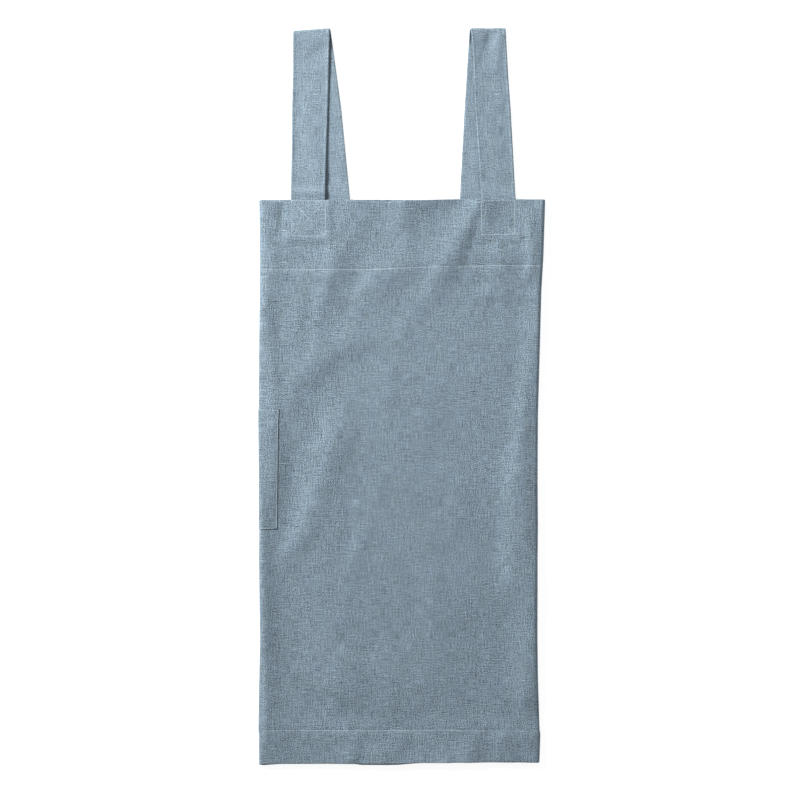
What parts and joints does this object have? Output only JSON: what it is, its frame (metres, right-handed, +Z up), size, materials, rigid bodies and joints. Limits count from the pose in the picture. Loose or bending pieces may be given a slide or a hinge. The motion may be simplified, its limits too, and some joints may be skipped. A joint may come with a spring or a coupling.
{
  "type": "cross-back apron",
  "caption": "Linen cross-back apron lying folded with its front up: long body panel with side flaps behind, wide straps folded over above it, side pocket.",
  "frame": {"origin": "middle of the underside of the apron's bounding box, on the surface that it lies on", "axes": "+Y along the apron from its bottom hem to the straps, +Z up from the surface, +X to the right as seen from above"},
  "size_m": [0.4154, 1.066, 0.0142],
  "materials": {
    "body_cloth": "matt washed linen, grey-blue chambray weave",
    "pocket_cloth": "matt washed linen, grey-blue chambray weave",
    "strap_cloth": "matt washed linen, doubled, grey-blue chambray weave"
  },
  "bodies": {
    "root": {"body_panel": "body_cloth", "side_pocket": "pocket_cloth", "strap_left": "strap_cloth", "strap_right": "strap_cloth"}
  },
  "joints": []
}
